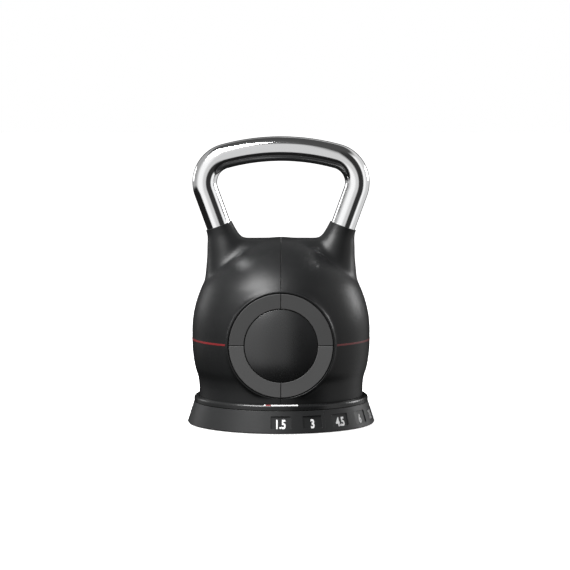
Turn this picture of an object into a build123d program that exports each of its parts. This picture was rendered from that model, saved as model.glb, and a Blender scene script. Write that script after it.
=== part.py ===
from build123d import *
from math import acos, atan2, cos, radians, sin, sqrt, tan
import os

# Adjustable kettlebell: a hollow bell with a tube handle stands in a numbered dial base. Turning the dial
# ring turns a spindle in the bell, whose tabbed discs pick up one steel plate more for each number.
# Millimetres. Z is up, the base stands on Z = 0, the front looks along -Y and the dial is centred on Z.
# Piece names end up as the STEP file names.

# ---- driving dimensions --------------------------------------------------------------------------------
PLATE_COUNT = 7            # the empty bell is the first setting, so there is one more setting than plates
DIAL_STEP = 20.0           # degrees of dial turn between two settings
FRONT_ANGLE = -90.0        # the direction of -Y, where the selected number stands
RUN_FIT = 0.08             # radial clearance of a turning or sliding fit
SEAT_FIT = 0.05            # radial clearance of a piece that is only seated

# base
BASE_R = 99.0              # foot of the conical dial ring
DIAL_TOP_R = 92.0
DIAL_BOTTOM_Z, DIAL_TOP_Z = 0.8, 23.4
DIAL_BORE_R = 88.4
SEAT_Z = 24.0              # the bell's lip and the collar's flange both stand on this level
COLLAR_TOP_Z = 29.8
COLLAR_BORE_R = 87.0
COLLAR_ROUND = 3.0
TRAY_R, TRAY_BORE_R = 84.4, 79.0
TRAY_FLOOR_Z, TRAY_FLOOR_TOP_Z = 8.8, 12.0
COVER_Z, COVER_TOP_Z, COVER_R = 1.2, 3.4, 87.5
DRIVE_Z, DRIVE_TOP_Z, DRIVE_R = 4.0, 6.0, 87.0
FOOT_RING_R, FOOT_RING_BORE_R, FOOT_RING_T = 84.0, 70.0, 2.0

# weight plates
STACK_Z = 17.0             # underside of the lowest plate
PLATE_T = 14.0
PLATE_R = 70.0
PLATE_BORE_R = 16.5
PLATE_NOTCH_R = 24.0       # the two opposite notches that a disc's tabs pass through
PLATE_POCKET_R, PLATE_POCKET_T = 26.0, 4.7
POST_R, POST_NOTCH_R = 4.0, 4.6
RIB_HALF, RIB_NOTCH_HALF, RIB_NOTCH_FLOOR = 4.0, 4.6, 66.2

# selector spindle
DISC_R, DISC_T, TAB_R, TAB_SPAN = 15.5, 3.5, 23.4, 14.0
DISC_LIFT = 0.6            # a disc hangs this far above its plate's underside
TAB_SPARE = 2.0            # degrees of play between a tab and the end of its notch
HEX_AF = 12.0
SPINDLE_R = 5.9
FOOT_R, FOOT_Z = 12.0, 12.6
DOG_WIDTH, DOG_LENGTH = 4.6, 22.0

# bell
LIP_R, LIP_BORE_R = 86.4, 82.0
BELLY_R, BELLY_Z, BELLY_ARC_R = 93.9, 89.0, 145.0
BELLY_LOW_Z, BELLY_HIGH_Z = 60.0, 141.0
WALL = 4.2
SHOULDER_R, SHOULDER_Z = 44.0, 181.5
CROWN_Z = 196.6
SADDLE_Z = 195.2
MEDALLION_Z, MEDALLION_Y = 90.0, 86.0
BOSS_R, RECESS_R, RECESS_T = 56.0, 54.3, 6.0
RING_R, RING_BORE_R, RING_T = 53.3, 38.1, 2.8
SEGMENT_GAP = 0.7
CAP_R, CAP_EDGE, CAP_RISE = 37.2, 2.6, 7.0
BAND_Z, BAND_H, BAND_T = 89.5, 2.0, 1.5

# handle
TUBE_R, TUBE_WALL = 13.0, 2.5
LEG_LEAN = 20.0            # degrees from vertical, outwards
JOINT_X, JOINT_Z = 65.5, 208.3
ARCH_TOP_Z, ARCH_R = 289.4, 225.0
CORNER_R = 28.5
BRIDGE_Z, BRIDGE_TOP_Z = 128.0, 134.0
BRIDGE_HALF_X, BRIDGE_HALF_Y = 62.0, 22.0

# the bell's saddle and horns
SADDLE_SECTIONS = ((138.0, 76.0, 56.0), (165.0, 77.0, 42.0), (184.0, 74.0, 25.0), (SADDLE_Z, 54.0, 9.0))
HORN_SECTIONS = (          # x, z, tilt in degrees, half width along X, half width along Y
    (50.5, 150.0, 0.0, 30.0, 35.0),
    (54.5, 178.0, 0.0, 23.4, 24.0),
    (57.8, 193.0, 5.0, 20.0, 19.0),
    (61.6, 200.5, 13.0, 16.6, 16.2),
    (JOINT_X, JOINT_Z, LEG_LEAN, TUBE_R + 0.9, TUBE_R + 0.9),
)

# ---- worked out from those -----------------------------------------------------------------------------
STACK_TOP_Z = STACK_Z + PLATE_COUNT * PLATE_T
DISC_Z = STACK_Z + DISC_LIFT
LEG_SLOPE = tan(radians(LEG_LEAN))
SLEEVE_TOP_Z = BRIDGE_Z - 3.4
LUG_LOW_Z = BRIDGE_Z - 7.0


def plate_floor(number):
    """Underside of a plate; plate 1 is on top and is the first to be picked up."""
    return STACK_Z + (PLATE_COUNT - number) * PLATE_T


def leg_x(z):
    """Where the centre line of the right-hand leg stands at a height."""
    return JOINT_X + (z - JOINT_Z) * LEG_SLOPE


def belly_radius(z):
    """Outer radius of the barrel-shaped part of the bell at a height."""
    return BELLY_R - BELLY_ARC_R + sqrt(BELLY_ARC_R**2 - (z - BELLY_Z) ** 2)


def sector(inner_r, outer_r, start, span, mode=Mode.ADD):
    """Part of a ring in the open sketch, counter-clockwise from start, in degrees."""
    with BuildLine() as outline:
        inner = CenterArc((0, 0), inner_r, start, span)
        outer = CenterArc((0, 0), outer_r, start, span)
        Line(inner @ 0, outer @ 0)
        Line(inner @ 1, outer @ 1)
    make_face(outline.edges(), mode=mode)


def ring(inner_r, outer_r, low, high):
    """A plain ring about the Z axis, as a finished part of its own."""
    with BuildPart() as made:
        with BuildSketch(Plane.XY.offset(low)):
            Circle(outer_r)
            Circle(inner_r, mode=Mode.SUBTRACT)
        extrude(amount=high - low)
    return made


def screws(places, low, high, shank_r, head_r, head_t):
    """Like screws with their heads down, one at each (x, y), from low up to high."""
    with BuildPart() as made:
        with BuildSketch(Plane.XY.offset(low)):
            with Locations(*places):
                Circle(head_r)
        extrude(amount=head_t)
        with BuildSketch(Plane.XY.offset(low + head_t)):
            with Locations(*places):
                Circle(shank_r)
        extrude(amount=high - low - head_t)
    return made


def around(radius, angles):
    """Points on a circle about the axis, at the angles given in degrees."""
    return [(radius * cos(radians(a)), radius * sin(radians(a))) for a in angles]


# ---- base: cover, foot ring, tray, collar -----------------------------------------------------------------
KIDNEY_R = (62.0, 42.0)    # the outer pair of cover posts stands on X, the inner pair on Y
POST_PLACES = around(KIDNEY_R[0], (0, 180)) + around(KIDNEY_R[1], (90, 270))
COVER_POST_R = 5.0

with BuildPart() as bottom_cover:
    with BuildSketch(Plane.XY.offset(COVER_Z)):
        Circle(COVER_R)
    extrude(amount=COVER_TOP_Z - COVER_Z)
    with BuildSketch(Plane.XY.offset(COVER_TOP_Z)):
        with Locations(*POST_PLACES):
            Circle(COVER_POST_R)
    extrude(amount=TRAY_FLOOR_Z - COVER_TOP_Z)
    with BuildSketch(Plane.XY.offset(COVER_Z)):
        Circle(FOOT_RING_R + SEAT_FIT)
        Circle(FOOT_RING_BORE_R - SEAT_FIT, mode=Mode.SUBTRACT)
    extrude(amount=FOOT_RING_T - COVER_Z, mode=Mode.SUBTRACT)
    with BuildSketch(Plane.XY.offset(COVER_Z)):
        with Locations(*POST_PLACES):
            Circle(3.7)
    extrude(amount=1.6, mode=Mode.SUBTRACT)
    with BuildSketch(Plane.XY.offset(COVER_Z)):
        with Locations(*POST_PLACES):
            Circle(2.0 + SEAT_FIT)
    extrude(amount=TRAY_FLOOR_Z - COVER_Z, mode=Mode.SUBTRACT)

base_screws = screws(POST_PLACES, COVER_Z + 0.1, TRAY_FLOOR_TOP_Z - 0.6, 2.0, 3.5, 1.5)
foot_ring = ring(FOOT_RING_BORE_R, FOOT_RING_R, 0.0, FOOT_RING_T)
thrust_washer = ring(25.0, 34.0, COVER_TOP_Z, DRIVE_Z)

DETENT_Z, DETENT_R = 17.5, 2.5
DETENT_BACK_Y, DETENT_TIP_Y = 80.0, DIAL_BORE_R - 0.2
DETENT_BORE_Y = 74.3

with BuildPart() as base_tray:
    with BuildSketch(Plane.XY.offset(TRAY_FLOOR_Z)):
        Circle(TRAY_R)
        Circle(14.0 + RUN_FIT, mode=Mode.SUBTRACT)
        with Locations(*POST_PLACES):
            Circle(2.0 + SEAT_FIT, mode=Mode.SUBTRACT)
        with Locations((PLATE_R, 0), (-PLATE_R, 0)):
            Circle(POST_R + SEAT_FIT, mode=Mode.SUBTRACT)
    extrude(amount=TRAY_FLOOR_TOP_Z - TRAY_FLOOR_Z)
    with BuildSketch(Plane.XY.offset(TRAY_FLOOR_TOP_Z)):
        Circle(TRAY_R)
        Circle(TRAY_BORE_R, mode=Mode.SUBTRACT)
        with Locations((0, TRAY_BORE_R - 3)):
            Rectangle(14, 8)
    extrude(amount=22.0 - TRAY_FLOOR_TOP_Z)
    with BuildSketch(Plane.XY.offset(22.0)):
        Circle(TRAY_R)
        Circle(TRAY_BORE_R, mode=Mode.SUBTRACT)
    extrude(amount=SEAT_Z - 22.0)
    with BuildSketch(Plane.XZ.offset(-DETENT_BORE_Y)):
        with Locations((0, DETENT_Z)):
            Circle(DETENT_R + RUN_FIT)
    extrude(amount=-(TRAY_R + 1 - DETENT_BORE_Y), mode=Mode.SUBTRACT)


INLAY_LOW, INLAY_HIGH = 38.0, 70.0   # degrees up round the collar's shoulder that the bar covers


def collar_inlay(start, span, low_r, high_r):
    """A curved bar let into the collar's rounded shoulder over a span of angle, in degrees from the front."""
    out = (cos(radians(start)), sin(radians(start)))
    shoulder_r = DIAL_TOP_R - COLLAR_ROUND
    shoulder = (shoulder_r * out[0], shoulder_r * out[1], COLLAR_TOP_Z - COLLAR_ROUND)
    with BuildPart() as made:
        with BuildSketch(Plane(origin=shoulder, x_dir=(*out, 0), z_dir=(-out[1], out[0], 0))):
            sector(low_r, high_r, -INLAY_HIGH, INLAY_HIGH - INLAY_LOW)
        revolve(axis=Axis.Z, revolution_arc=span)
    return made


INLAY_PROUD = COLLAR_ROUND + 0.1
INLAY_DEPTH = COLLAR_ROUND - 1.2
INLAY_HALF = 11.2          # degrees either side of the front that the bar reaches
RED_START, RED_SPAN = 1.2, 3.7
bar_start = FRONT_ANGLE - INLAY_HALF

with BuildPart() as base_collar:
    tongue_low = TRAY_FLOOR_Z + 0.2
    tongue_r = DIAL_BORE_R - RUN_FIT
    with BuildSketch(Plane.XZ):
        with BuildLine():
            Polyline(
                (TRAY_R + SEAT_FIT, tongue_low),
                (tongue_r, tongue_low),
                (tongue_r, SEAT_Z),
                (DIAL_TOP_R, SEAT_Z),
                (DIAL_TOP_R, COLLAR_TOP_Z),
                (COLLAR_BORE_R + 0.5, COLLAR_TOP_Z),
                (COLLAR_BORE_R, COLLAR_TOP_Z - 0.5),
                (COLLAR_BORE_R, SEAT_Z),
                (TRAY_R + SEAT_FIT, SEAT_Z),
                close=True,
            )
        make_face()
    revolve(axis=Axis.Z)
    rim = base_collar.edges().filter_by(GeomType.CIRCLE).group_by(Axis.Z)[-1].sort_by(SortBy.RADIUS)[-1]
    fillet(rim, COLLAR_ROUND)
    with BuildSketch(Plane.XZ.offset(-TRAY_R)):
        with Locations((0, DETENT_Z)):
            Circle(DETENT_R + RUN_FIT)
    extrude(amount=-(tongue_r - TRAY_R + 1), mode=Mode.SUBTRACT)
    groove = collar_inlay(bar_start, 2 * INLAY_HALF, INLAY_DEPTH - SEAT_FIT, INLAY_PROUD + 1)
    add(groove.part, mode=Mode.SUBTRACT)

with BuildPart() as indicator_bar_red:
    add(collar_inlay(bar_start + RED_START, RED_SPAN, INLAY_DEPTH, INLAY_PROUD).part)
with BuildPart() as indicator_bar_white:
    add(collar_inlay(bar_start + 0.1, RED_START - 0.15, INLAY_DEPTH, INLAY_PROUD).part)
    white_start = RED_START + RED_SPAN + 0.05
    add(
        collar_inlay(
            bar_start + white_start, 2 * INLAY_HALF - white_start - 0.1, INLAY_DEPTH, INLAY_PROUD
        ).part
    )

with BuildPart() as tray_pad:
    with BuildSketch(Plane.XY.offset(TRAY_FLOOR_TOP_Z)):
        Circle(PLATE_R - 6)
        Circle(19.0, mode=Mode.SUBTRACT)
    extrude(amount=STACK_Z - TRAY_FLOOR_TOP_Z)

with BuildPart() as guide_posts:
    with BuildSketch(Plane.XY.offset(TRAY_FLOOR_Z)):
        with Locations((PLATE_R, 0), (-PLATE_R, 0)):
            Circle(POST_R)
    extrude(amount=STACK_TOP_Z - 2 - TRAY_FLOOR_Z)
    chamfer(guide_posts.faces().group_by(Axis.Z)[-1].edges(), 1.5)

with BuildPart() as detent_plunger:
    with BuildSketch(Plane.XZ.offset(-DETENT_BACK_Y)):
        with Locations((0, DETENT_Z)):
            Circle(DETENT_R)
    extrude(amount=-(DETENT_TIP_Y - DETENT_BACK_Y))
    fillet(detent_plunger.faces().sort_by(Axis.Y)[-1].edges(), DETENT_R - 0.6)

SPRING_WIRE_R, SPRING_R, SPRING_TURNS = 0.35, 1.8, 5
spring_length = DETENT_BACK_Y - DETENT_BORE_Y - 2 * SPRING_WIRE_R - 0.1
with BuildPart() as detent_spring:
    spring_start = (0, DETENT_BORE_Y + SPRING_WIRE_R + 0.05, DETENT_Z)
    with BuildLine() as coil:
        Helix(spring_length / SPRING_TURNS, spring_length, SPRING_R, spring_start, (0, 1, 0))
    with BuildSketch(Plane(origin=coil.line @ 0, z_dir=coil.line % 0)):
        Circle(SPRING_WIRE_R)
    sweep(is_frenet=True)

# ---- dial ring and its drive -------------------------------------------------------------------------------
FLANGE_BORE_R, FLANGE_TOP_Z = 77.0, 8.4
DIAL_SCREW_PLACES = around(82.0, range(30, 390, 60))
HUB_SCREW_PLACES = around(18.0, range(45, 405, 90))
POCKET_HALF_ANGLE, POCKET_LOW_Z, POCKET_HIGH_Z, POCKET_DEPTH = 6.3, 5.2, 18.2, 1.3
SCALLOP_R, SCALLOP_DEPTH = 3.0, 1.0


def cone_radius(z):
    """Outer radius of the dial's conical skirt at a height."""
    share = (z - DIAL_BOTTOM_Z) / (DIAL_TOP_Z - DIAL_BOTTOM_Z)
    return BASE_R + (DIAL_TOP_R - BASE_R) * share


with BuildPart() as dial_ring:
    with BuildSketch(Plane.XZ):
        with BuildLine():
            Polyline(
                (COVER_R + 1.5, DIAL_BOTTOM_Z),
                (BASE_R - 0.9, DIAL_BOTTOM_Z),
                (BASE_R - 0.1, DIAL_BOTTOM_Z + 1.0),
                (DIAL_TOP_R, DIAL_TOP_Z),
                (DIAL_BORE_R, DIAL_TOP_Z),
                (DIAL_BORE_R, FLANGE_TOP_Z),
                (FLANGE_BORE_R, FLANGE_TOP_Z),
                (FLANGE_BORE_R, DRIVE_TOP_Z),
                (COVER_R + 1.5, DRIVE_TOP_Z),
                close=True,
            )
        make_face()
    revolve(axis=Axis.Z)
    # number pockets: flat-floored windows cut square to the sloping skirt
    skirt_slope = atan2(BASE_R - DIAL_TOP_R, DIAL_TOP_Z - DIAL_BOTTOM_Z)
    for setting in range(PLATE_COUNT + 1):
        turn = FRONT_ANGLE + setting * DIAL_STEP
        mid_z = (POCKET_LOW_Z + POCKET_HIGH_Z) / 2
        face_r = cone_radius(mid_z) - POCKET_DEPTH
        out_x, out_y = cos(radians(turn)), sin(radians(turn))
        floor = Plane(
            origin=(face_r * out_x, face_r * out_y, mid_z),
            x_dir=(-out_y, out_x, 0),
            z_dir=(out_x * cos(skirt_slope), out_y * cos(skirt_slope), sin(skirt_slope)),
        )
        with BuildSketch(floor):
            RectangleRounded(2 * face_r * sin(radians(POCKET_HALF_ANGLE)), POCKET_HIGH_Z - POCKET_LOW_Z, 0.8)
        extrude(amount=6, mode=Mode.SUBTRACT)
    # scallops that the detent's nose stands in front of, one for each setting
    with BuildSketch(Plane.XY.offset(FLANGE_TOP_Z)):
        back_angles = [90 + k * DIAL_STEP for k in range(PLATE_COUNT + 1)]
        scallops = around(DIAL_BORE_R + SCALLOP_DEPTH - SCALLOP_R, back_angles)
        with Locations(*scallops):
            Circle(SCALLOP_R)
    extrude(amount=DIAL_TOP_Z - 2 - FLANGE_TOP_Z, mode=Mode.SUBTRACT)
    with BuildSketch(Plane.XY.offset(DRIVE_TOP_Z)):
        with Locations(*DIAL_SCREW_PLACES):
            Circle(1.5 + SEAT_FIT)
    extrude(amount=FLANGE_TOP_Z - 0.3 - DRIVE_TOP_Z, mode=Mode.SUBTRACT)

with BuildPart() as drive_plate:
    with BuildSketch(Plane.XY.offset(DRIVE_Z)):
        Circle(DRIVE_R)
        with Locations(*DIAL_SCREW_PLACES, *HUB_SCREW_PLACES):
            Circle(1.5 + SEAT_FIT, mode=Mode.SUBTRACT)
        # the dial turns clockwise seen from above, so each cover post runs counter-clockwise in its slot
        travel = DIAL_STEP * PLATE_COUNT
        for slot_r, first in zip(KIDNEY_R, (0, 90)):
            for start in (first, first + 180):
                path = CenterArc((0, 0), slot_r, start - 1, travel + 2, mode=Mode.PRIVATE)
                SlotArc(path, 2 * (COVER_POST_R + 0.5), mode=Mode.SUBTRACT)
    extrude(amount=DRIVE_TOP_Z - DRIVE_Z)
    with BuildSketch(Plane.XY.offset(DRIVE_Z)):
        with Locations(*DIAL_SCREW_PLACES, *HUB_SCREW_PLACES):
            Circle(2.8 + SEAT_FIT)
    extrude(amount=1.0, mode=Mode.SUBTRACT)

dial_screws = screws(DIAL_SCREW_PLACES, DRIVE_Z, FLANGE_TOP_Z - 0.5, 1.5, 2.8, 1.0)
hub_screws = screws(HUB_SCREW_PLACES, DRIVE_Z, DRIVE_TOP_Z + 1.8, 1.5, 2.8, 1.0)

with BuildPart() as drive_hub:
    with BuildSketch(Plane.XY.offset(DRIVE_TOP_Z)):
        Circle(22.0)
        with Locations(*HUB_SCREW_PLACES):
            Circle(1.5 + SEAT_FIT, mode=Mode.SUBTRACT)
    extrude(amount=2.2)
    with BuildSketch(Plane.XY.offset(DRIVE_TOP_Z + 2.2)):
        Circle(14.0)
    extrude(amount=TRAY_FLOOR_TOP_Z - DRIVE_TOP_Z - 2.2)
    with BuildSketch(Plane.XY.offset(TRAY_FLOOR_TOP_Z)):
        Rectangle(DOG_LENGTH, DOG_WIDTH)
    extrude(amount=DISC_Z - 0.6 - TRAY_FLOOR_TOP_Z)

# ---- weight plates -----------------------------------------------------------------------------------------
TAB_ANGLES = (90.0, 270.0)


def make_weight_plate(number):
    """Steel plate. Its two notches let the tabs out until the dial passes the plate's own number."""
    low = plate_floor(number)
    reach = (number - 1) * DIAL_STEP
    half = TAB_SPAN / 2 + TAB_SPARE
    with BuildPart() as plate:
        with BuildSketch(Plane.XY.offset(low)):
            Circle(PLATE_R)
            Circle(PLATE_BORE_R, mode=Mode.SUBTRACT)
            with Locations((PLATE_R, 0), (-PLATE_R, 0)):
                Circle(POST_NOTCH_R, mode=Mode.SUBTRACT)
            with Locations((0, RIB_NOTCH_FLOOR + 5), (0, -RIB_NOTCH_FLOOR - 5)):
                Rectangle(2 * RIB_NOTCH_HALF, 10, mode=Mode.SUBTRACT)
            for tab in TAB_ANGLES:
                sector(PLATE_BORE_R - 1, PLATE_NOTCH_R, tab - reach - half, reach + 2 * half, Mode.SUBTRACT)
        extrude(amount=PLATE_T)
        with BuildSketch(Plane.XY.offset(low)):
            Circle(PLATE_POCKET_R)
        extrude(amount=PLATE_POCKET_T, mode=Mode.SUBTRACT)
        rims = plate.edges().filter_by(GeomType.CIRCLE).filter_by(lambda e: abs(e.radius - PLATE_R) < 0.01)
        chamfer(rims, 0.8)
    return plate


weight_plates = {f"weight_plate_{k}": make_weight_plate(k) for k in range(1, PLATE_COUNT + 1)}

# ---- selector spindle ----------------------------------------------------------------------------------------
NUT_Z = BRIDGE_TOP_Z + 2.4
NUT_T = 6.0

with BuildPart() as spindle_shaft:
    with BuildSketch(Plane.XY.offset(FOOT_Z)):
        Circle(FOOT_R)
        Rectangle(3 * FOOT_R, DOG_WIDTH + 0.5, mode=Mode.SUBTRACT)
    extrude(amount=DISC_Z - 0.3 - FOOT_Z)
    with BuildSketch(Plane.XY.offset(DISC_Z - 0.3)):
        Circle(FOOT_R)
    extrude(amount=0.3)
    with BuildSketch(Plane.XY.offset(DISC_Z)):
        RegularPolygon(HEX_AF / 2, 6, major_radius=False)
    extrude(amount=SLEEVE_TOP_Z - DISC_Z)
    with BuildSketch(Plane.XY.offset(SLEEVE_TOP_Z)):
        Circle(SPINDLE_R)
    extrude(amount=NUT_Z - SLEEVE_TOP_Z)
    with BuildSketch(Plane.XY.offset(NUT_Z)):
        Circle(5.0)
    extrude(amount=NUT_T + 2)


def make_selector_disc(number):
    """Disc with two opposite tabs that turn in under the ledge of the plate with the same number."""
    with BuildPart() as disc:
        with BuildSketch(Plane.XY.offset(plate_floor(number) + DISC_LIFT)):
            Circle(DISC_R)
            for tab in TAB_ANGLES:
                sector(DISC_R - 2, TAB_R, tab - TAB_SPAN / 2, TAB_SPAN)
            RegularPolygon(HEX_AF / 2 + SEAT_FIT, 6, major_radius=False, mode=Mode.SUBTRACT)
        extrude(amount=DISC_T)
    return disc


selector_discs = {f"selector_disc_{k}": make_selector_disc(k) for k in range(1, PLATE_COUNT + 1)}

with BuildPart() as spindle_spacers:
    for number in range(1, PLATE_COUNT + 1):
        low = plate_floor(number) + DISC_LIFT + DISC_T
        top = SLEEVE_TOP_Z if number == 1 else low + PLATE_T - DISC_T
        with BuildSketch(Plane.XY.offset(low)):
            Circle(9.5)
            RegularPolygon(HEX_AF / 2 + SEAT_FIT, 6, major_radius=False, mode=Mode.SUBTRACT)
        extrude(amount=top - low)

with BuildPart() as spindle_nut:
    with BuildSketch(Plane.XY.offset(NUT_Z)):
        RegularPolygon(8.5, 6, major_radius=False)
        Circle(5.0 + SEAT_FIT, mode=Mode.SUBTRACT)
    extrude(amount=NUT_T)
    chamfer(spindle_nut.edges().filter_by(GeomType.CIRCLE).group_by(Axis.Z)[-1], 0.5)

# ---- handle and the steel bridge that it stands on ------------------------------------------------------------
# the tube's centre line: two straight legs, two corners and one shallow arch, all tangent
lean = radians(LEG_LEAN)
leg_dir = (sin(lean), cos(lean))
ARCH_CENTRE_Z = ARCH_TOP_Z - ARCH_R


def corner_centre():
    """Centre of the right-hand corner: CORNER_R inside the leg's line and inside the arch's circle."""
    # points at CORNER_R to the inner side of the leg: (x0, z0) + t * leg_dir
    x0 = JOINT_X - CORNER_R * cos(lean)
    z0 = JOINT_Z + CORNER_R * sin(lean)
    bx, bz = x0, z0 - ARCH_CENTRE_Z
    half_b = bx * leg_dir[0] + bz * leg_dir[1]
    c = bx**2 + bz**2 - (ARCH_R - CORNER_R) ** 2
    t = -half_b + sqrt(half_b**2 - c)
    return x0 + t * leg_dir[0], z0 + t * leg_dir[1]


corner_x, corner_z = corner_centre()
leg_end = (corner_x + CORNER_R * cos(lean), corner_z - CORNER_R * sin(lean))
arch_scale = ARCH_R / (ARCH_R - CORNER_R)
arch_end = (corner_x * arch_scale, ARCH_CENTRE_Z + (corner_z - ARCH_CENTRE_Z) * arch_scale)
corner_mid_angle = (-lean + acos(arch_end[0] / ARCH_R)) / 2
corner_mid = (corner_x + CORNER_R * cos(corner_mid_angle), corner_z + CORNER_R * sin(corner_mid_angle))
LEG_CUT_Z = BRIDGE_TOP_Z - 12
leg_start = (leg_x(LEG_CUT_Z), LEG_CUT_Z)


def handle_solid(outer_r, inner_r):
    """The bent tube, cut off square to the ground on top of the bridge."""
    with BuildPart() as made:
        with BuildLine(Plane.XZ) as route:
            Line((-leg_start[0], leg_start[1]), (-leg_end[0], leg_end[1]))
            ThreePointArc((-leg_end[0], leg_end[1]), (-corner_mid[0], corner_mid[1]), (-arch_end[0], arch_end[1]))
            ThreePointArc((-arch_end[0], arch_end[1]), (0, ARCH_TOP_Z), arch_end)
            ThreePointArc(arch_end, corner_mid, leg_end)
            Line(leg_end, leg_start)
        with BuildSketch(Plane(origin=route.line @ 0, z_dir=route.line % 0)):
            Circle(outer_r)
            if inner_r:
                Circle(inner_r, mode=Mode.SUBTRACT)
        sweep()
        split(bisect_by=Plane.XY.offset(BRIDGE_TOP_Z), keep=Keep.TOP)
    return made


handle_tube = handle_solid(TUBE_R, TUBE_R - TUBE_WALL)

bolt_x = leg_x(BRIDGE_TOP_Z)
HANDLE_BOLT_PLACES = [(-bolt_x, 0), (bolt_x, 0)]
BRIDGE_SCREW_PLACES = [(x, y) for x in (-57.5, 57.5) for y in (-9.0, 9.0)]
PLUG_HEIGHT = 24.0

with BuildPart() as handle_plugs:
    for side in (-1, 1):
        foot = (side * leg_x(LEG_CUT_Z), 0, LEG_CUT_Z)
        with BuildSketch(Plane(origin=foot, z_dir=(side * sin(lean), 0, cos(lean)))):
            Circle(TUBE_R - TUBE_WALL - SEAT_FIT)
        extrude(amount=PLUG_HEIGHT + 14)
    split(bisect_by=Plane.XY.offset(BRIDGE_TOP_Z), keep=Keep.TOP)
    with BuildSketch(Plane.XY.offset(BRIDGE_TOP_Z)):
        with Locations(*HANDLE_BOLT_PLACES):
            Circle(4.0 + SEAT_FIT)
    extrude(amount=16, mode=Mode.SUBTRACT)

handle_bolts = screws(HANDLE_BOLT_PLACES, BRIDGE_Z - 6.0, BRIDGE_TOP_Z + 15.0, 4.0, 6.5, 4.4)
bolt_washers = BuildPart()
with bolt_washers:
    with BuildSketch(Plane.XY.offset(BRIDGE_Z - 1.6)):
        with Locations(*HANDLE_BOLT_PLACES):
            Circle(8.0)
            Circle(4.0 + SEAT_FIT, mode=Mode.SUBTRACT)
    extrude(amount=1.6)
bridge_screws = screws(BRIDGE_SCREW_PLACES, LUG_LOW_Z - 2.0, BRIDGE_TOP_Z, 2.0, 3.5, 2.0)

with BuildPart() as carrier_bridge:
    with BuildSketch(Plane.XY.offset(BRIDGE_Z)):
        RectangleRounded(2 * BRIDGE_HALF_X, 2 * BRIDGE_HALF_Y, 6)
        Circle(9.0 + SEAT_FIT, mode=Mode.SUBTRACT)
        with Locations(*HANDLE_BOLT_PLACES):
            Circle(4.0 + SEAT_FIT, mode=Mode.SUBTRACT)
        with Locations(*BRIDGE_SCREW_PLACES):
            Circle(2.0 + SEAT_FIT, mode=Mode.SUBTRACT)
    extrude(amount=BRIDGE_TOP_Z - BRIDGE_Z)

with BuildPart() as spindle_bush:
    with BuildSketch(Plane.XY.offset(BRIDGE_Z - 2.5)):
        Circle(13.0)
        Circle(SPINDLE_R + RUN_FIT, mode=Mode.SUBTRACT)
    extrude(amount=2.5)
    with BuildSketch(Plane.XY.offset(BRIDGE_Z)):
        Circle(9.0)
        Circle(SPINDLE_R + RUN_FIT, mode=Mode.SUBTRACT)
    extrude(amount=BRIDGE_TOP_Z - BRIDGE_Z)

wave_washer = ring(6.4, 10.5, BRIDGE_TOP_Z, NUT_Z - 0.4)

# ---- bell shell ------------------------------------------------------------------------------------------------
def shell_profile(wall):
    """Half section of the barrel and its domed top, drawn in by a wall thickness."""
    low_r = belly_radius(BELLY_LOW_Z) - wall
    high_r = belly_radius(BELLY_HIGH_Z) - wall
    lip = LIP_R if wall == 0 else LIP_BORE_R
    with BuildLine() as outline:
        Polyline((0, SEAT_Z), (lip, SEAT_Z), (lip, SEAT_Z + 14))
        Spline(
            (lip, SEAT_Z + 14),
            (low_r, BELLY_LOW_Z),
            tangents=((0, 1), (BELLY_Z - BELLY_LOW_Z, BELLY_ARC_R)),
        )
        ThreePointArc((low_r, BELLY_LOW_Z), (BELLY_R - wall, BELLY_Z), (high_r, BELLY_HIGH_Z))
        ThreePointArc(
            (high_r, BELLY_HIGH_Z),
            (SHOULDER_R + 23 - wall * 0.8, SHOULDER_Z - 17.4 - wall * 0.6),
            (SHOULDER_R - wall * 0.5, SHOULDER_Z - wall * 1.4),
        )
        ThreePointArc(
            (SHOULDER_R - wall * 0.5, SHOULDER_Z - wall * 1.4),
            (20, CROWN_Z - 2.8 - wall * 1.5),
            (0, CROWN_Z - wall * 1.5),
        )
        Line((0, CROWN_Z - wall * 1.5), (0, SEAT_Z))
    make_face(outline.edges())


with BuildPart() as outer_form:
    with BuildSketch(Plane.XZ):
        shell_profile(0)
    revolve(axis=Axis.Z)
    # the saddle between the handle's legs, as flat ellipses: height, half length, half width
    for height, half_x, half_y in SADDLE_SECTIONS:
        with BuildSketch(Plane.XY.offset(height)):
            Ellipse(half_x, half_y)
    loft()
    # horns up to the ends of the handle's visible legs, with a broad flare on their inner side
    for side in (-1, 1):
        for x, z, tilt, half_x, half_y in HORN_SECTIONS:
            turn = radians(side * tilt)
            across = Plane(origin=(side * x, 0, z), x_dir=(cos(turn), 0, -sin(turn)), z_dir=(sin(turn), 0, cos(turn)))
            with BuildSketch(across):
                Ellipse(half_x, half_y)
        loft()
    # round bosses that carry the front and back medallions
    for side in (-1, 1):
        with BuildSketch(Plane(origin=(0, 0, MEDALLION_Z), x_dir=(side, 0, 0), z_dir=(0, -side, 0))):
            Circle(BOSS_R)
        extrude(amount=MEDALLION_Y)
        circles = outer_form.edges().filter_by(GeomType.CIRCLE)
        rim = circles.filter_by(lambda edge: abs(edge.radius - BOSS_R) < 0.01).sort_by(Axis.Y)
        chamfer(rim[0] if side == 1 else rim[-1], 0.9)

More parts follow.
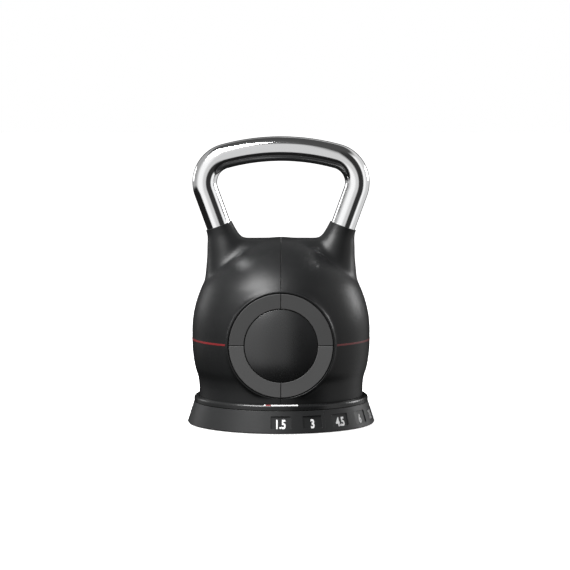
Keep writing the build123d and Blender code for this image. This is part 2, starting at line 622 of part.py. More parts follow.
with BuildPart() as cavity:
    with BuildSketch(Plane.XZ):
        shell_profile(WALL)
    revolve(axis=Axis.Z)
    for side in (-1, 1):
        # seam ribs at the front and back: they key into the plates and carry the screws across the seam
        with BuildSketch(Plane.XY.offset(SEAT_Z)):
            with Locations((0, side * (RIB_NOTCH_FLOOR + 0.8 + 15))):
                Rectangle(2 * RIB_HALF, 30)
        extrude(amount=STACK_TOP_Z + 3 - SEAT_Z, mode=Mode.SUBTRACT)
        with BuildSketch(Plane.XY.offset(STACK_TOP_Z + 3)):
            with Locations((0, side * 76)):
                Rectangle(16, 24)
        extrude(amount=42, mode=Mode.SUBTRACT)
        # lugs that the bridge is screwed to
        with BuildSketch(Plane.XY.offset(LUG_LOW_Z)):
            with Locations((side * 72, 0)):
                Rectangle(38, 30)
        extrude(amount=BRIDGE_Z - LUG_LOW_Z, mode=Mode.SUBTRACT)

SHELL_SCREW_PLACES = [(side * 72.0, z) for side in (-1, 1) for z in (126.0, 146.0)]


def cross_screw(y, z, clearance):
    """A screw across the seam at one place, with its head on the right-hand side."""
    with BuildSketch(Plane.YZ.offset(-6.0 - clearance)) as shank:
        with Locations((y, z)):
            Circle(1.75 + clearance)
    extrude(shank.sketch, amount=13.0 + 2 * clearance)
    with BuildSketch(Plane.YZ.offset(6.0 - clearance)) as head:
        with Locations((y, z)):
            Circle(3.2 + clearance)
    extrude(head.sketch, amount=1.8 + 8 * clearance)


with BuildPart() as shell_screws:
    for y, z in SHELL_SCREW_PLACES:
        cross_screw(y, z, 0)
with BuildPart() as shell_screw_holes:
    for y, z in SHELL_SCREW_PLACES:
        cross_screw(y, z, SEAT_FIT)

handle_bore = handle_solid(TUBE_R + SEAT_FIT, 0)

with BuildPart() as whole_shell:
    add(outer_form.part)
    add(cavity.part, mode=Mode.SUBTRACT)
    add(handle_bore.part, mode=Mode.SUBTRACT)
    add(shell_screw_holes.part, mode=Mode.SUBTRACT)
    # medallion recesses and the band's groove
    for side in (-1, 1):
        with BuildSketch(
            Plane(origin=(0, -side * (MEDALLION_Y - RECESS_T), MEDALLION_Z), x_dir=(side, 0, 0), z_dir=(0, -side, 0))
        ):
            Circle(RECESS_R)
        extrude(amount=RECESS_T + BELLY_R - MEDALLION_Y + 1, mode=Mode.SUBTRACT)
    with BuildSketch(Plane.XY.offset(BAND_Z - BAND_H / 2 - SEAT_FIT)):
        Circle(BELLY_R + 5)
        Circle(BELLY_R - BAND_T - SEAT_FIT, mode=Mode.SUBTRACT)
        Rectangle(2 * BOSS_R + 1, 3 * BASE_R, mode=Mode.SUBTRACT)
    extrude(amount=BAND_H + 2 * SEAT_FIT, mode=Mode.SUBTRACT)
    with BuildSketch(Plane.XY.offset(LUG_LOW_Z)):
        with Locations(*BRIDGE_SCREW_PLACES):
            Circle(2.0 + SEAT_FIT)
    extrude(amount=BRIDGE_Z - LUG_LOW_Z, mode=Mode.SUBTRACT)

with BuildPart() as shell_right:
    add(whole_shell.part)
    split(bisect_by=Plane.YZ.offset(0.05), keep=Keep.TOP)
with BuildPart() as shell_left:
    add(whole_shell.part)
    split(bisect_by=Plane.YZ.offset(-0.05), keep=Keep.BOTTOM)


def make_band(side):
    """Coloured strip let into the belly on one side, from boss to boss."""
    with BuildPart() as band:
        with BuildSketch(Plane.XY.offset(BAND_Z - BAND_H / 2)):
            Circle(BELLY_R + 0.1)
            Circle(BELLY_R - BAND_T, mode=Mode.SUBTRACT)
            Rectangle(2 * BOSS_R + 1.2, 3 * BASE_R, mode=Mode.SUBTRACT)
        extrude(amount=BAND_H)
        split(bisect_by=Plane.YZ, keep=Keep.TOP if side > 0 else Keep.BOTTOM)
    return band


accent_band_right = make_band(1)
accent_band_left = make_band(-1)

# ---- medallions ------------------------------------------------------------------------------------------------
CARRIER_FACE_Y = MEDALLION_Y - RING_T
CARRIER_T = RECESS_T - RING_T


def medallion_plane(side, y):
    """Plane square to Y at a distance from the axis, facing out of the front (1) or the back (-1)."""
    return Plane(origin=(0, -side * y, MEDALLION_Z), x_dir=(side, 0, 0), z_dir=(0, -side, 0))


def make_carrier(side):
    """Round plate in the boss's recess that holds the ring segments and the cap."""
    with BuildPart() as carrier:
        with BuildSketch(medallion_plane(side, CARRIER_FACE_Y - CARRIER_T)):
            Circle(RECESS_R - SEAT_FIT)
        extrude(amount=CARRIER_T)
    return carrier


def make_segment(side, quarter):
    """A quarter of the flat grey ring."""
    with BuildPart() as segment:
        with BuildSketch(medallion_plane(side, CARRIER_FACE_Y)):
            sector(RING_BORE_R, RING_R, 90 * quarter, 90)
            Rectangle(SEGMENT_GAP, 3 * RING_R, mode=Mode.SUBTRACT)
            Rectangle(3 * RING_R, SEGMENT_GAP, mode=Mode.SUBTRACT)
        extrude(amount=RING_T)
        front = segment.faces().sort_by(Axis.Y)[0 if side > 0 else -1]
        chamfer(front.edges(), 0.3)
    return segment


def make_cap(side):
    """Domed cap in the middle of the medallion, with a short cylindrical edge."""
    dome_r = (CAP_R**2 + CAP_RISE**2) / (2 * CAP_RISE)
    top_y = CARRIER_FACE_Y + CAP_EDGE + CAP_RISE
    with BuildPart() as cap:
        with BuildSketch(medallion_plane(side, CARRIER_FACE_Y)):
            Circle(CAP_R)
        extrude(amount=CAP_EDGE + CAP_RISE + 1)
        with Locations((0, -side * (top_y - dome_r), MEDALLION_Z)):
            Sphere(dome_r, mode=Mode.INTERSECT)
    return cap


medallions = {}
for word, side in (("front", 1), ("back", -1)):
    medallions[f"{word}_ring_carrier"] = make_carrier(side)
    medallions[f"{word}_dome_cap"] = make_cap(side)
    for quarter in range(4):
        medallions[f"{word}_ring_segment_{quarter + 1}"] = make_segment(side, quarter)

# ---- write every piece -------------------------------------------------------------------------------------------
pieces = {
    "bottom_cover": bottom_cover,
    "base_screws": base_screws,
    "foot_ring": foot_ring,
    "thrust_washer": thrust_washer,
    "base_tray": base_tray,
    "base_collar": base_collar,
    "indicator_bar_red": indicator_bar_red,
    "indicator_bar_white": indicator_bar_white,
    "tray_pad": tray_pad,
    "guide_posts": guide_posts,
    "detent_plunger": detent_plunger,
    "detent_spring": detent_spring,
    "dial_ring": dial_ring,
    "drive_plate": drive_plate,
    "drive_hub": drive_hub,
    "dial_screws": dial_screws,
    "hub_screws": hub_screws,
    **weight_plates,
    "spindle_shaft": spindle_shaft,
    **selector_discs,
    "spindle_spacers": spindle_spacers,
    "spindle_nut": spindle_nut,
    "handle_tube": handle_tube,
    "handle_plugs": handle_plugs,
    "handle_bolts": handle_bolts,
    "bolt_washers": bolt_washers,
    "bridge_screws": bridge_screws,
    "carrier_bridge": carrier_bridge,
    "spindle_bush": spindle_bush,
    "wave_washer": wave_washer,
    "shell_screws": shell_screws,
    "shell_right": shell_right,
    "shell_left": shell_left,
    "accent_band_right": accent_band_right,
    "accent_band_left": accent_band_left,
    **medallions,
}

os.makedirs("parts", exist_ok=True)
for name, piece in pieces.items():
    piece.part.label = name
    export_step(piece.part, f"parts/{name}.step")
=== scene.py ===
from math import atan2, cos, pi, radians, sin, sqrt

import bmesh
import bpy
from mathutils import Matrix, Vector


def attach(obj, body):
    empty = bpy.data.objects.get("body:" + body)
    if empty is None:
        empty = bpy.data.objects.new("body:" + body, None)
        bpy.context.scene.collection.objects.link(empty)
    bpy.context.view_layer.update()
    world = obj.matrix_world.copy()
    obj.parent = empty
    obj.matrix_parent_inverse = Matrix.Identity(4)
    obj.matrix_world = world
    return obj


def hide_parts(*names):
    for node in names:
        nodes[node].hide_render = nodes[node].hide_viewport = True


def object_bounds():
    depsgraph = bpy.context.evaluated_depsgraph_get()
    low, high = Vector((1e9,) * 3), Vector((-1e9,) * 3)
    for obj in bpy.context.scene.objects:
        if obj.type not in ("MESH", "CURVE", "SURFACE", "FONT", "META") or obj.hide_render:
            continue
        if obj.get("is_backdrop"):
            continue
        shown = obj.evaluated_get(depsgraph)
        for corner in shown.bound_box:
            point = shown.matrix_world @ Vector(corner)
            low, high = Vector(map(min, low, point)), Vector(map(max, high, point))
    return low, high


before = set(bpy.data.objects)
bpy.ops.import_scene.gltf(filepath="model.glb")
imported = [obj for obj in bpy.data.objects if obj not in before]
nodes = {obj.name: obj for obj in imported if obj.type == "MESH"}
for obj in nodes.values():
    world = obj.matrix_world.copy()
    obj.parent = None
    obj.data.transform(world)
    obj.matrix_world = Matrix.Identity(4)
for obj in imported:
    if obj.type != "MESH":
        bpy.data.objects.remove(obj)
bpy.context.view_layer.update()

# ---- camera ---------------------------------------------------------------------------------------------
# A long lens a little above the grip, looking down at the middle of the bell. The bell stands a few
# millimetres left of the middle of the view.
CAMERA_PLACE = Vector((0.0042, -2.6, 0.362))
CAMERA_TILT = radians(4.76)
camera_data = bpy.data.cameras.new("front_camera")
camera_data.sensor_width = 36.0
camera_data.lens = 156.0
camera_data.clip_start, camera_data.clip_end = 0.1, 60.0
camera_data.dof.use_dof = False
camera = bpy.data.objects.new("front_camera", camera_data)
camera.location = CAMERA_PLACE
camera.rotation_euler = (pi / 2 - CAMERA_TILT, 0, 0)
bpy.context.scene.collection.objects.link(camera)
bpy.context.scene.camera = camera
bpy.context.scene.view_settings.view_transform = "Standard"

# ---- floor and studio light -----------------------------------------------------------------------------
# A plain pale floor sheet, wide enough for its rim never to show. It is left out of reflections and of
# bounced light, where the studio's dark lower half takes its place.
FLOOR_R, FLOOR_DROP = 14.0, 0.0003


def new_piece(name, bm):
    """A finished mesh becomes an object at the origin, with its place in its vertices."""
    mesh = bpy.data.meshes.new(name)
    bm.to_mesh(mesh)
    bm.free()
    made = bpy.data.objects.new(name, mesh)
    bpy.context.scene.collection.objects.link(made)
    return made


bm = bmesh.new()
bmesh.ops.create_circle(bm, cap_ends=True, segments=96, radius=FLOOR_R,
                        matrix=Matrix.Translation((0, 0, -FLOOR_DROP)))
floor = new_piece("studio_floor", bm)
floor_paint = bpy.data.materials.new("pale_floor")
floor_paint.use_nodes = True
floor_shader = floor_paint.node_tree.nodes["Principled BSDF"]
for socket, value in (("Base Color", (0.93, 0.93, 0.93, 1)), ("Roughness", 0.9), ("Specular IOR Level", 0.1),
                      ("Emission Color", (1, 1, 1, 1)), ("Emission Strength", 0.88)):
    floor_shader.inputs[socket].default_value = value
floor.data.materials.append(floor_paint)
floor.visible_glossy = False
floor.visible_diffuse = False
floor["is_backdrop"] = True

LIGHT_AIM = Vector((0, 0, 0.13))


def softbox(name, azimuth, elevation, distance, size, power):
    """A square soft light aimed at the middle of the bell. Azimuth 0 is the front and 90 the right."""
    lamp = bpy.data.lights.new(name, "AREA")
    lamp.shape, lamp.size, lamp.energy = "SQUARE", size, power
    held = bpy.data.objects.new(name, lamp)
    a, e = radians(azimuth), radians(elevation)
    back = Vector((sin(a) * cos(e), -cos(a) * cos(e), sin(e)))
    held.location = LIGHT_AIM + back * distance
    held.rotation_euler = back.to_track_quat("Z", "Y").to_euler()
    bpy.context.scene.collection.objects.link(held)


softbox("key_light", -46, 54, 1.6, 0.9, 62)
softbox("right_rim_light", 120, 14, 1.5, 0.45, 5)
softbox("left_rim_light", -126, 12, 1.6, 0.45, 1.5)


# ---- bell shell -----------------------------------------------------------------------------------------
# Two halves moulded in satin black plastic, meeting on the middle plane. Each half takes in the barrel,
# half of the saddle and one horn up to the handle. Screws inside the seam ribs draw them together.
class Wire:
    """One output of a node, which adds, subtracts and multiplies like a number."""

    def __init__(self, finish, socket):
        self.finish, self.socket = finish, socket

    def maths(self, operation, first, second):
        return self.finish.node("ShaderNodeMath", {"operation": operation}, {0: first, 1: second})

    def __add__(self, other):
        return self.maths("ADD", self, other)

    __radd__ = __add__

    def __sub__(self, other):
        return self.maths("SUBTRACT", self, other)

    def __rsub__(self, other):
        return self.maths("SUBTRACT", other, self)

    def __mul__(self, other):
        return self.maths("MULTIPLY", self, other)

    __rmul__ = __mul__


class Finish:
    """A material under the name of the surface it stands for, fed through one node method."""

    def __init__(self, name, **constants):
        self.material = bpy.data.materials.new(name)
        self.material.use_nodes = True
        self.tree = self.material.node_tree
        self.shader = self.tree.nodes["Principled BSDF"]
        for socket, value in constants.items():
            self.set(socket.replace("_", " "), value)
        self.place = self.node("ShaderNodeTexCoord", output="Object")

    def node(self, kind, settings=(), inputs=(), output=0):
        made = self.tree.nodes.new(kind)
        for key, value in dict(settings).items():
            setattr(made, key, value)
        for key, value in dict(inputs).items():
            self.feed(made.inputs[key], value)
        return Wire(self, made.outputs[output])

    def feed(self, socket, value):
        if isinstance(value, Wire):
            self.tree.links.new(value.socket, socket)
        else:
            socket.default_value = value

    def set(self, socket, value):
        self.feed(self.shader.inputs[socket], value)

    def noise(self, scale, detail=2.0, roughness=0.5, stretch=(1, 1, 1)):
        """Cloudy noise, about 0.5 in the middle, with patches of about 1 / scale metres."""
        place = self.place
        if stretch != (1, 1, 1):
            place = self.node("ShaderNodeMapping", inputs={"Vector": self.place, "Scale": stretch})
        return self.node("ShaderNodeTexNoise", inputs={
            "Vector": place, "Scale": scale, "Detail": detail, "Roughness": roughness})

    def ramp(self, value, low, high, to_low=0.0, to_high=1.0):
        """Rises smoothly from to_low to to_high as value goes from low to high."""
        return self.node("ShaderNodeMapRange", {"interpolation_type": "SMOOTHSTEP"}, {
            "Value": value, "From Min": low, "From Max": high, "To Min": to_low, "To Max": to_high})

    def blend(self, share, first, second):
        """Colour that goes from first to second as share goes from 0 to 1."""
        return self.node("ShaderNodeMix", {"data_type": "RGBA"}, {0: share, 6: first, 7: second}, output=2)

    def axis(self, letter):
        """One of the place's three coordinates."""
        return self.node("ShaderNodeSeparateXYZ", inputs={0: self.place}, output=letter)

    def edge(self, radius):
        """1 where the surface turns sharply within radius, and 0 on its open faces."""
        rounded = self.node("ShaderNodeBevel", {"samples": 4}, {"Radius": radius})
        flat = self.node("ShaderNodeNewGeometry", output="Normal")
        turn = self.node("ShaderNodeVectorMath", {"operation": "DOT_PRODUCT"}, {0: rounded, 1: flat},
                         output="Value")
        return self.ramp(turn, 0.995, 0.86)

    def relief(self, height, depth, soft_edge=0.0):
        """Bump of that height map, depth metres deep, over edges rounded by soft_edge."""
        inputs = {"Height": height, "Distance": depth, "Strength": 1.0}
        if soft_edge:
            inputs["Normal"] = self.node("ShaderNodeBevel", {"samples": 4}, {"Radius": soft_edge})
        self.set("Normal", self.node("ShaderNodeBump", inputs=inputs))


def grey(value, warmth=0.0):
    """A grey, redder if warmth is above 0 and bluer if it is below."""
    return (value * (1 + warmth), value, value * (1 - warmth), 1)


def moulded_plastic(name, tone, roughness, grain=2200.0, grain_depth=0.00004, edge=0.0004, lines=(),
                    shine=0.22):
    """Spark-textured black plastic, a little uneven in gloss, rubbed lighter along its edges.
    lines are masks of hairlines that are cut into it, each painted darker as painted shade in the cut."""
    paint = Finish(name, IOR=1.49, Specular_IOR_Level=shine)
    cloud = paint.noise(26, 4, 0.6)
    speck = paint.noise(900, 2)
    worn = paint.edge(edge) * paint.ramp(paint.noise(190, 3), 0.35, 0.62)
    smear = paint.ramp(paint.noise(14, 5, 0.65, (1, 1, 0.35)), 0.5, 0.72)
    base = paint.blend(cloud * 0.7 + speck * 0.3, grey(tone * 0.8, -0.03), grey(tone * 1.25, -0.03))
    base = paint.blend(worn * 0.45, base, grey(tone * 3.2))
    rough = roughness - 0.05 + cloud * 0.06 + speck * 0.05 + smear * 0.05 - worn * 0.08
    height = paint.noise(grain, 2) * 0.8 + paint.noise(320, 3) * 0.2
    for line in lines:
        cut = line(paint)
        # painted shade: each cut hairline is painted darker, standing in for the shade in the cut
        base = paint.blend(cut, base, grey(tone * 0.3))
        height = height - cut * 6.0
    paint.set("Base Color", base)
    paint.set("Roughness", rough)
    paint.relief(height, grain_depth, edge)
    return paint.material


def dress(piece, material):
    """Gives a whole piece one material."""
    piece.data.materials.clear()
    piece.data.materials.append(material)


def circle(bm, matrix, segments=64):
    """Edges of a new open ring of vertices, of radius 1 before the matrix."""
    made = bmesh.ops.create_circle(bm, cap_ends=False, segments=segments, radius=1.0, matrix=matrix)
    return list({e for v in made["verts"] for e in v.link_edges})


def loft(bm, matrices, segments=64):
    """A closed skin over a row of rings."""
    rings = [circle(bm, m, segments) for m in matrices]
    for low, high in zip(rings, rings[1:]):
        bmesh.ops.bridge_loops(bm, edges=low + high)
    bmesh.ops.contextual_create(bm, geom=rings[0])
    bmesh.ops.contextual_create(bm, geom=rings[-1])


def ellipse(x, z, tilt, half_x, half_y):
    """Place and half widths of a ring centred on the middle plane and tilted about Y."""
    return (Matrix.Translation((x, 0, z)) @ Matrix.Rotation(tilt, 4, "Y")
            @ Matrix.Diagonal((half_x, half_y, 1, 1)))


def drum(bm, radius, low, high, side):
    """A closed cylinder along Y from low to high, on the medallions' axis."""
    turn = Matrix.Translation((0, side * (low + high) / 2, MEDALLION_Z)) @ Matrix.Rotation(pi / 2, 4, "X")
    bmesh.ops.create_cone(bm, cap_ends=True, segments=160, radius1=radius, radius2=radius,
                          depth=abs(high - low), matrix=turn)


def cut(bm, place, normal, clear=True):
    """Cuts a mesh through at a plane and drops what lies past it if clear is set. Gives what the cut made."""
    return bmesh.ops.bisect_plane(bm, geom=bm.verts[:] + bm.edges[:] + bm.faces[:], dist=1e-7,
                                  plane_co=place, plane_no=normal, clear_outer=clear)["geom_cut"]


def only(kind, found):
    """The items of one kind in a mixed row of vertices, edges and faces."""
    return [item for item in found if isinstance(item, kind)]


LIP_R, LIP_Z, LIP_SPARE = 0.0864, 0.0240, 0.006
NECK_R, NECK_Z = 0.0877, 0.050
BELLY_R, BELLY_Z, BELLY_ARC_R = 0.0939, 0.0890, 0.145
FULL_Z, FULL_HALF, FULL_RISE = 0.126, 0.032, 0.0011
CROWN_Z, CROWN_WALL = 0.1970, 0.006
MEDALLION_Z, MEDALLION_Y = 0.090, 0.086
BOSS_R, RECESS_R, RECESS_Y = 0.056, 0.0543, 0.060
LEAN = radians(20.0)
JOINT = Vector((0.0655, 0, 0.2083))
SHELL_WALL = 0.0042
VOXEL = 0.0014
SEAM_HALF, SEAM_DEPTH, SEAM_GAP = 0.00042, 0.0004, 0.00005
CREASE = 0.7  # an edge that turns further than this, in radians, shows as sharp

shell_black = moulded_plastic("satin_black_shell", 0.009, 0.36)


def belly_radius(z):
    """Outer radius of the barrel at a height, a little fuller above the accent band."""
    full = max(0.0, 1 - ((z - FULL_Z) / FULL_HALF) ** 2) * FULL_RISE
    return BELLY_R - BELLY_ARC_R + sqrt(BELLY_ARC_R**2 - (z - BELLY_Z) ** 2) + full


def turned(bm, outline, steps=128):
    """A closed form turned round the Z axis from its outline, a row of (radius, height)."""
    profile = [bm.verts.new((r, 0, z)) for r, z in outline]
    edges = [bm.edges.new(pair) for pair in zip(profile, profile[1:])]
    bmesh.ops.spin(bm, geom=profile + edges, cent=(0, 0, 0), axis=(0, 0, 1), dvec=(0, 0, 0),
                   angle=2 * pi, steps=steps, use_merge=True, use_duplicate=False)
    bmesh.ops.remove_doubles(bm, verts=bm.verts[:], dist=1e-6)


# the barrel is turned from its outline, and the saddle and the horns are lofts sunk into it
SHOULDER = [(0.0831, 0.1460), (0.0808, 0.1500), (0.0780, 0.1540), (0.0748, 0.1580), (0.0712, 0.1620),
            (0.0672, 0.1660), (0.0627, 0.1700), (0.0576, 0.1740), (0.0520, 0.1780), (0.0456, 0.1820),
            (0.0382, 0.1860), (0.0292, 0.1902), (0.0180, 0.1942), (0.0080, 0.1962)]
outline = [(0, LIP_Z - LIP_SPARE), (LIP_R, LIP_Z - LIP_SPARE), (LIP_R, LIP_Z + 0.012),
           (LIP_R + 0.0002, LIP_Z + 0.018), (NECK_R, NECK_Z),
           *((belly_radius(z / 1000), z / 1000) for z in range(58, 143, 4)), *SHOULDER, (0, CROWN_Z)]
bm = bmesh.new()
turned(bm, outline)
saddle = (  # z, half width along X, half width along Y
    (0.138, 0.076, 0.056),
    (0.165, 0.077, 0.044),
    (0.180, 0.0755, 0.031),
    (0.1890, 0.069, 0.0215),
    (0.1935, 0.060, 0.0140),
    (0.1957, 0.050, 0.0060),
)
loft(bm, [ellipse(0, z, 0, half_x, half_y) for z, half_x, half_y in saddle], 96)
horn = (  # x, z, tilt in degrees, half width along X, half width along Y
    (0.0505, 0.150, 0, 0.0300, 0.0350),
    (0.0545, 0.176, 0, 0.0236, 0.0245),
    (0.0568, 0.188, 2, 0.0214, 0.0205),
    (0.0590, 0.1935, 6, 0.0190, 0.0185),
    (0.0614, 0.1985, 11, 0.0164, 0.0166),
    (0.0632, 0.2030, 16, 0.0152, 0.0154),
    (JOINT.x, JOINT.z, 20, 0.0146, 0.0146),
    (JOINT.x + 0.0041, JOINT.z + 0.0113, 20, 0.0143, 0.0143),
)
for side in (-1, 1):
    loft(bm, [ellipse(side * x, z, side * radians(tilt), half_x, half_y)
              for x, z, tilt, half_x, half_y in horn])
    drum(bm, BOSS_R - 0.0002, 0.0, MEDALLION_Y - 0.0003, side)
bmesh.ops.recalc_face_normals(bm, faces=bm.faces[:])
form = new_piece("bell_form", bm)
skin = form.modifiers.new("skin", "REMESH")
skin.mode, skin.voxel_size, skin.adaptivity = "VOXEL", VOXEL, 0.0


def baked(piece):
    """The piece's mesh with its modifiers carried out."""
    held = piece.evaluated_get(bpy.context.evaluated_depsgraph_get())
    made = bmesh.new()
    made.from_mesh(held.to_mesh())
    held.to_mesh_clear()
    return made


bm = baked(form)
bpy.data.objects.remove(form)

# the joins blend into one another, most of all between the shoulder and the horns' ends
for low_z, high_z, times in ((0.0, 1.0, 10), (0.118, 1.0, 8), (0.134, 0.202, 14)):
    verts = [v for v in bm.verts if low_z < v.co.z < high_z]
    for _ in range(times):
        bmesh.ops.smooth_vert(bm, verts=verts, factor=0.5, use_axis_x=True, use_axis_y=True, use_axis_z=True)
# the horns end square to the handle's legs
for side in (-1, 1):
    across = Vector((side * sin(LEAN), 0, cos(LEAN)))
    rim = only(bmesh.types.BMEdge, cut(bm, (side * JOINT.x, 0, JOINT.z), across))
    bmesh.ops.holes_fill(bm, edges=rim, sides=0)
    for e in rim:
        e.smooth = False
form = new_piece("bell_form", bm)
# two recesses for the medallions and one cavity are taken out of the solid form
hollows = [bmesh.new(), bmesh.new(), bmesh.new()]
drum(hollows[0], RECESS_R, RECESS_Y, MEDALLION_Y + 0.02, -1)
drum(hollows[1], RECESS_R, RECESS_Y, MEDALLION_Y + 0.02, 1)
turned(hollows[2], [(0, LIP_Z - 0.01), *((r - SHELL_WALL, z - 0.0005) for r, z in outline[1:-2]),
                    (0, CROWN_Z - CROWN_WALL)], 96)
cutters = []
for bm in hollows:
    bmesh.ops.recalc_face_normals(bm, faces=bm.faces[:])
    cutters.append(new_piece("cutter", bm))
    hollow = form.modifiers.new("hollow", "BOOLEAN")
    hollow.operation, hollow.object, hollow.solver = "DIFFERENCE", cutters[-1], "EXACT"
whole = baked(form)
for spare in (form, *cutters):
    bpy.data.objects.remove(spare)

for side, name in ((-1, "shell_left"), (1, "shell_right")):
    bm = whole.copy()
    cut(bm, (0, 0, LIP_Z), (0, 0, -1))
    for e in only(bmesh.types.BMEdge, cut(bm, (side * SEAM_HALF, 0, 0), (-side, 0, 0), False)):
        e.smooth = False
    seam = only(bmesh.types.BMVert, cut(bm, (side * SEAM_GAP, 0, 0), (-side, 0, 0)))
    bm.normal_update()
    # a shallow vee runs along the seam
    for v in seam:
        v.co -= Vector((0, v.normal.y, v.normal.z)).normalized() * SEAM_DEPTH
    # the wide flats that the cuts leave stay flat
    for f in bm.faces:
        f.smooth = len(f.verts) < 60
    for e in bm.edges:
        if e.calc_face_angle(0) > CREASE:
            e.smooth = False
    shell = new_piece(name + "_skin", bm)
    dress(shell, shell_black)
    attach(shell, "bell")
    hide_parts(name)
whole.free()

# ---- handle ---------------------------------------------------------------------------------------------
# One bent steel tube, chrome plated and polished. Its two legs stand on the bridge inside the bell and
# lean out by 20 degrees, and a shallow arch between two tight corners makes the grip.
TUBE_R, CORNER_R, ARCH_R, ARCH_TOP_Z = 0.0130, 0.0285, 0.225, 0.2894
LEG_FOOT_Z = 0.1345
LEG_STEPS, CORNER_STEPS, ARCH_STEPS, TUBE_SIDES = 12, 96, 180, 128

# a corner's centre is CORNER_R inside the leg's line and ARCH_R - CORNER_R from the arch's centre
leg_dir = Vector((sin(LEAN), 0, cos(LEAN)))
arch_centre_z = ARCH_TOP_Z - ARCH_R
inner_x, inner_z = JOINT.x - CORNER_R * cos(LEAN), JOINT.z + CORNER_R * sin(LEAN)
half_b = inner_x * leg_dir.x + (inner_z - arch_centre_z) * leg_dir.z
along = -half_b + sqrt(half_b**2 - inner_x**2 - (inner_z - arch_centre_z) ** 2 + (ARCH_R - CORNER_R) ** 2)
corner = Vector((inner_x, 0, inner_z)) + along * leg_dir
arch_half = atan2(corner.x, corner.z - arch_centre_z)

foot = Vector((JOINT.x, 0, JOINT.z)) + leg_dir * ((LEG_FOOT_Z - JOINT.z) / leg_dir.z)
leg_end = corner + Vector((cos(LEAN), 0, -sin(LEAN))) * CORNER_R
bm = bmesh.new()
ring = circle(bm, ellipse(-foot.x, foot.z, -LEAN, TUBE_R, TUBE_R), TUBE_SIDES)
leg = Vector((foot.x - leg_end.x, 0, leg_end.z - foot.z))


def draw_out(ring, vec):
    """Carries the tube straight on."""
    for _ in range(LEG_STEPS):
        drawn = bmesh.ops.extrude_edge_only(bm, edges=ring)["geom"]
        bmesh.ops.translate(bm, vec=vec / LEG_STEPS, verts=only(bmesh.types.BMVert, drawn))
        ring = only(bmesh.types.BMEdge, drawn)
    return ring


def bend(ring, centre, angle, steps):
    """Carries the tube on round a bend in the middle plane."""
    ends = list({v for e in ring for v in e.verts})
    last = bmesh.ops.spin(bm, geom=ends + ring, cent=centre, axis=(0, 1, 0), dvec=(0, 0, 0),
                          angle=angle, steps=steps, use_merge=False, use_duplicate=False)["geom_last"]
    return only(bmesh.types.BMEdge, last)


ring = draw_out(ring, leg)
ring = bend(ring, (-corner.x, 0, corner.z), pi / 2 + LEAN - arch_half, CORNER_STEPS)
ring = bend(ring, (0, 0, arch_centre_z), 2 * arch_half, ARCH_STEPS)
ring = bend(ring, (corner.x, 0, corner.z), pi / 2 + LEAN - arch_half, CORNER_STEPS)
draw_out(ring, Vector((leg.x, 0, -leg.z)))
bmesh.ops.remove_doubles(bm, verts=bm.verts[:], dist=1e-6)
bmesh.ops.holes_fill(bm, edges=bm.edges[:], sides=0)
bmesh.ops.recalc_face_normals(bm, faces=bm.faces[:])
for f in bm.faces:
    f.smooth = len(f.verts) == 4
tube = new_piece("handle_tube_bent", bm)

chrome = Finish("polished_chrome", Metallic=1.0)
haze = chrome.noise(9, 5, 0.6)
draw_lines = chrome.noise(60, 3, 0.6, (14, 14, 1))
rub = chrome.ramp(chrome.noise(34, 4, 0.7), 0.52, 0.74)
chrome.set("Base Color", chrome.blend(haze, grey(0.86, -0.01), grey(0.93)))
chrome.set("Roughness", 0.085 + haze * 0.03 + rub * 0.04)
chrome.relief(draw_lines * 0.6 + chrome.noise(700, 2) * 0.4, 0.0000008)
dress(tube, chrome.material)
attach(tube, "bell")
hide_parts("handle_tube")

# ---- medallions -----------------------------------------------------------------------------------------
# A drum rim stands out of the barrel at the front and the back. Four flat grey ring quarters and a domed
# cap in the middle clip into a black carrier inside the rim.
RIM_DEPTH, RIM_OUTER_BREAK, RIM_INNER_BREAK = 0.008, 0.0006, 0.0003
for side, name in ((-1, "front"), (1, "back")):
    bm = bmesh.new()
    section = [bm.verts.new((r, side * (MEDALLION_Y - back), MEDALLION_Z)) for r, back in (
        (BOSS_R, RIM_DEPTH), (BOSS_R, RIM_OUTER_BREAK), (BOSS_R - RIM_OUTER_BREAK, 0),
        (RECESS_R + RIM_INNER_BREAK, 0), (RECESS_R, RIM_INNER_BREAK), (RECESS_R, RIM_DEPTH))]
    loop = [bm.edges.new(pair) for pair in zip(section, section[1:] + section[:1])]
    bmesh.ops.spin(bm, geom=section + loop, cent=(0, 0, MEDALLION_Z), axis=(0, 1, 0), dvec=(0, 0, 0),
                   angle=2 * pi, steps=192, use_merge=True, use_duplicate=False)
    bmesh.ops.remove_doubles(bm, verts=bm.verts[:], dist=1e-6)
    bmesh.ops.recalc_face_normals(bm, faces=bm.faces[:])
    for f in bm.faces:
        f.smooth = abs(f.normal.y) < 0.99
    for e in bm.edges:
        e.smooth = e.calc_face_angle(0) < 0.6
    rim = new_piece(name + "_medallion_rim", bm)
    dress(rim, shell_black)
    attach(rim, "bell")

ring_grey = Finish("flat_grey_ring", IOR=1.46, Specular_IOR_Level=0.45)
ring_cloud = ring_grey.noise(40, 3, 0.6)
ring_speck = ring_grey.noise(1500, 2)
ring_worn = ring_grey.edge(0.0005) * ring_grey.ramp(ring_grey.noise(260, 3), 0.38, 0.6)
# painted light: the two lower quarters catch more light than the two upper ones, and are painted lighter for
# it
lower_painted_light = ring_grey.ramp(ring_grey.axis("Z"), MEDALLION_Z - 0.0002, MEDALLION_Z + 0.0002, 1.0, 0.0)
ring_tone_and_painted_light = ring_grey.blend(ring_cloud * 0.6 + ring_speck * 0.4, grey(0.036), grey(0.046))
ring_tone_and_painted_light = ring_grey.blend(lower_painted_light * 0.55, ring_tone_and_painted_light, grey(0.074))
ring_grey.set("Base Color", ring_grey.blend(ring_worn * 0.4, ring_tone_and_painted_light, grey(0.13)))
ring_grey.set("Roughness", 0.52 + ring_cloud * 0.08 + ring_speck * 0.06)
ring_grey.relief(ring_speck * 0.7 + ring_grey.noise(420, 2) * 0.3, 0.00003, 0.0004)

